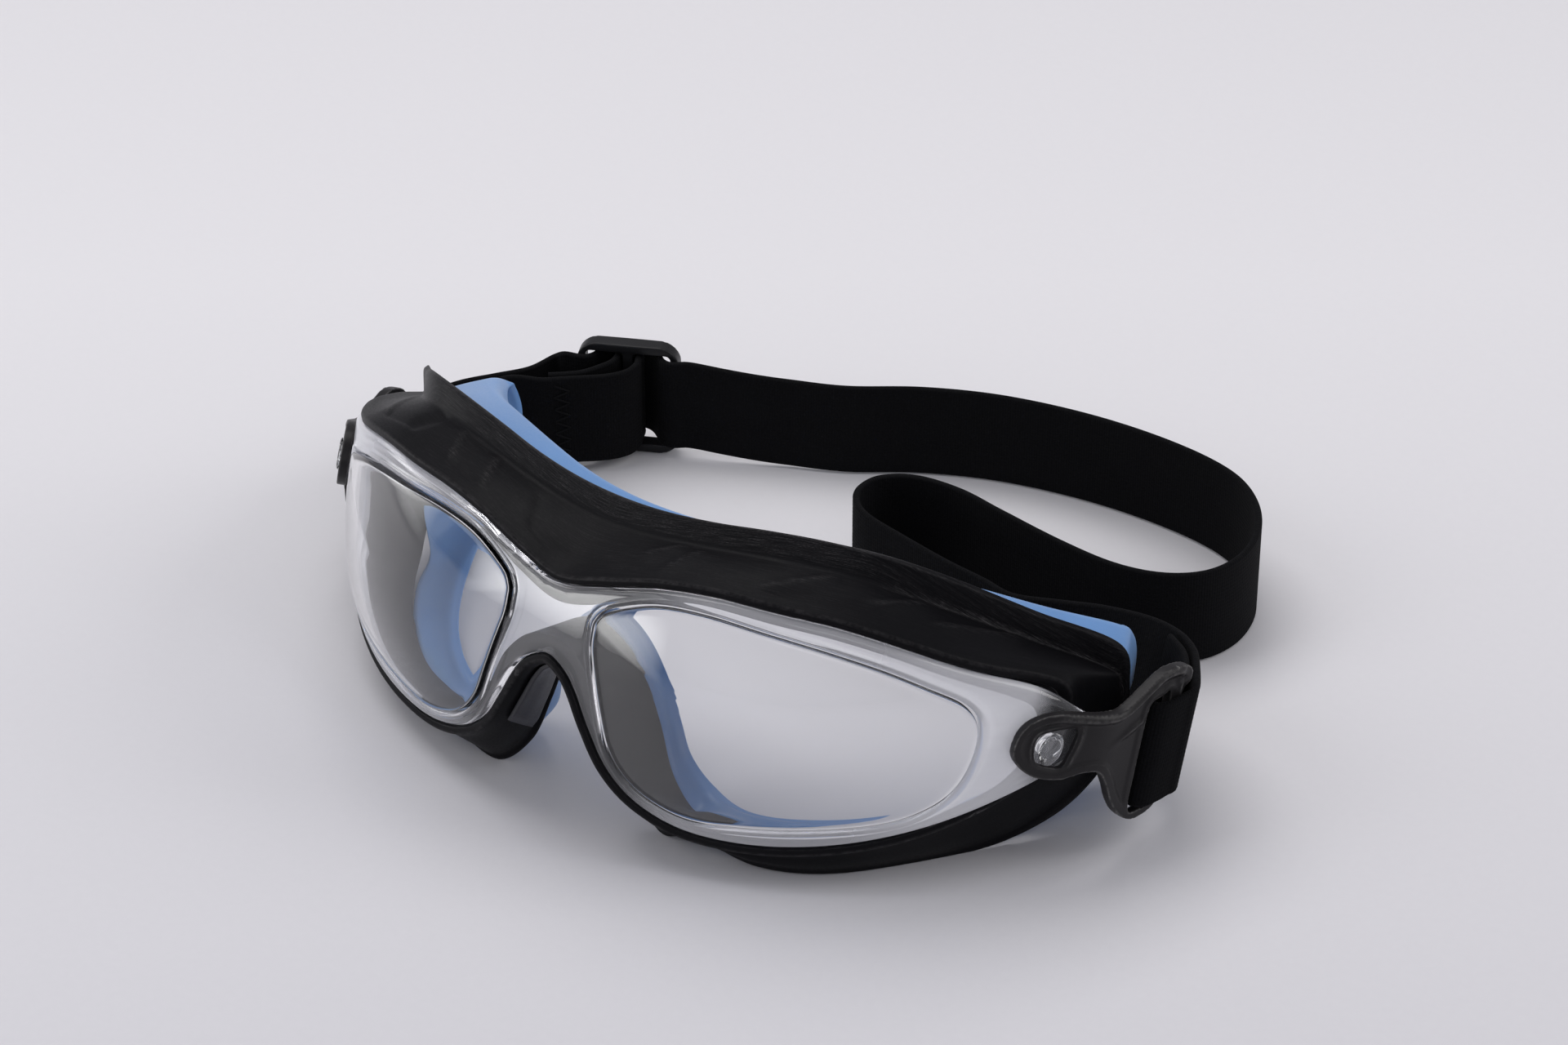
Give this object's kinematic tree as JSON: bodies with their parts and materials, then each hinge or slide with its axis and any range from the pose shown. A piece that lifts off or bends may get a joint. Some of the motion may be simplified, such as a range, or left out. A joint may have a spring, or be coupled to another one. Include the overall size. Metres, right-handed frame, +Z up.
{
  "type": "safety goggles",
  "caption": "Clear wraparound safety goggles with a black carrier, a blue face seal, swivelling strap clips and a wide elastic strap with an adjusting slider.",
  "frame": {"origin": "on the table plane, under the middle of the whole object's bounding box", "axes": "+X to the wearer's left, +Y from the clear front back to the face and the strap, +Z up from the table"},
  "size_m": [0.187, 0.1488, 0.0598],
  "materials": {
    "clear": "clear moulded polycarbonate",
    "black_rubber": "satin",
    "nose_rubber": "satin",
    "blue_seal": "soft matte",
    "black_plastic": "fine grain",
    "slider_plastic": "satin",
    "elastic": "ribbed woven elastic",
    "thread": "sewn thread"
  },
  "bodies": {
    "frame": {"front_frame": "clear", "lens_left": "clear", "lens_right": "clear", "seal_carrier": "black_rubber", "nose_pad": "nose_rubber", "face_seal": "blue_seal", "strap_band": "elastic", "strap_run_left": "elastic", "strap_feed": "elastic", "strap_outer_right": "elastic", "strap_return_right": "elastic"},
    "clip_left": {"clip_left": "black_plastic", "strap_fold_left": "elastic", "stitching_left": "thread"},
    "clip_right": {"clip_right": "black_plastic", "strap_fold_right": "elastic"},
    "slider": {"slider": "slider_plastic", "strap_weave": "elastic", "strap_end_loop": "elastic", "stitching_slider": "thread"}
  },
  "joints": [
    {"name": "clip_left_pivot", "type": "hinge", "parent": "frame", "child": "clip_left", "pos_m": [0.08084, -0.03363, 0.02731], "axis": [0.8094, -0.5583, 0.1822], "range_deg": [-24, 18], "deforming": ["strap_run_left"]},
    {"name": "clip_right_pivot", "type": "hinge", "parent": "frame", "child": "clip_right", "pos_m": [-0.07946, -0.03363, 0.02731], "axis": [0.8094, 0.5583, -0.1822], "range_deg": [-7, 35], "deforming": ["strap_outer_right", "strap_return_right"]},
    {"name": "slider_slide", "type": "slide", "parent": "frame", "child": "slider", "axis": [0.8944, 0.4472, 0], "range_m": [-0.003, 0.015], "deforming": ["strap_outer_right", "strap_return_right", "strap_feed"]}
  ]
}
